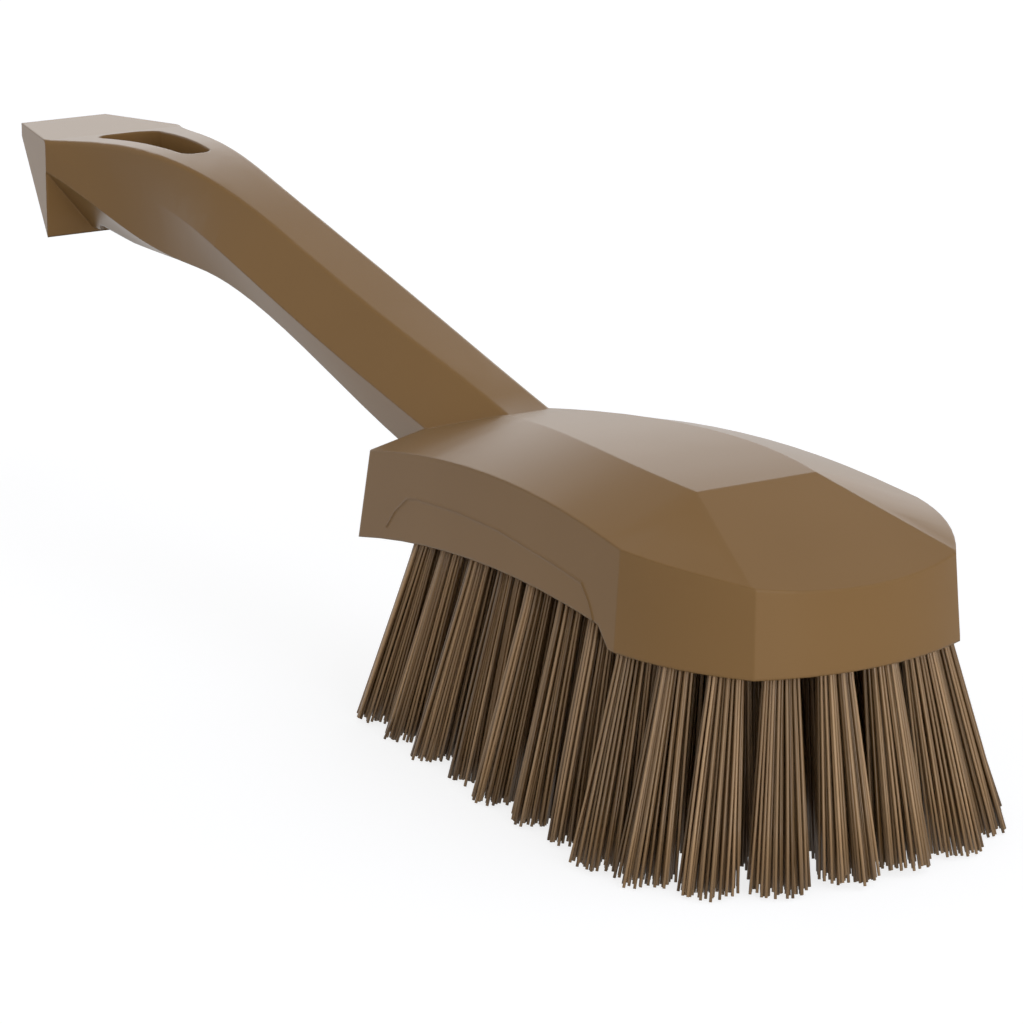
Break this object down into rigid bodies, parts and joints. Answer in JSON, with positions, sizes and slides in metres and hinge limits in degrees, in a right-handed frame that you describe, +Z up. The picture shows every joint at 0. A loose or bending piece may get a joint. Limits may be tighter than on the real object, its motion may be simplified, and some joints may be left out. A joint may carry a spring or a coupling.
{
  "type": "scrub brush",
  "caption": "Short-handled scrub brush: one-piece moulded head and rising handle with a hanging hole and hook tail, and splayed tufts of stiff bristle on the underside.",
  "frame": {"origin": "on the plane of the trimmed bristle tips, below the middle of the brush", "axes": "+X from the tail of the handle to the nose of the head, +Y to the left of someone looking along +X, +Z up from the bristle tips"},
  "size_m": [0.2762, 0.0748, 0.0764],
  "materials": {
    "body_plastic": "semi-gloss moulded polypropylene, brown",
    "bristle": "satin polyester filament, brown",
    "anchor_steel": "plain stainless strip"
  },
  "bodies": {
    "root": {"brush_body": "body_plastic", "tuft_01": "bristle", "tuft_02": "bristle", "tuft_03": "bristle", "tuft_04": "bristle", "tuft_05": "bristle", "tuft_06": "bristle", "tuft_07": "bristle", "tuft_08": "bristle", "tuft_09": "bristle", "tuft_10": "bristle", "tuft_11": "bristle", "tuft_12": "bristle", "tuft_13": "bristle", "tuft_14": "bristle", "tuft_15": "bristle", "tuft_16": "bristle", "tuft_17": "bristle", "tuft_18": "bristle", "tuft_19": "bristle", "tuft_20": "bristle", "tuft_21": "bristle", "tuft_22": "bristle", "tuft_23": "bristle", "tuft_24": "bristle", "tuft_25": "bristle", "tuft_26": "bristle", "tuft_27": "bristle", "tuft_28": "bristle", "tuft_29": "bristle", "tuft_30": "bristle", "tuft_31": "bristle", "tuft_32": "bristle", "tuft_33": "bristle", "tuft_34": "bristle", "tuft_35": "bristle", "tuft_36": "bristle", "tuft_37": "bristle", "tuft_38": "bristle", "tuft_39": "bristle", "tuft_40": "bristle", "tuft_41": "bristle", "tuft_42": "bristle", "tuft_43": "bristle", "tuft_44": "bristle", "tuft_45": "bristle", "tuft_46": "bristle", "tuft_47": "bristle", "tuft_48": "bristle", "tuft_49": "bristle", "tuft_50": "bristle", "tuft_51": "bristle", "tuft_52": "bristle", "tuft_53": "bristle", "tuft_54": "bristle", "tuft_55": "bristle", "tuft_anchors": "anchor_steel"}
  },
  "joints": []
}
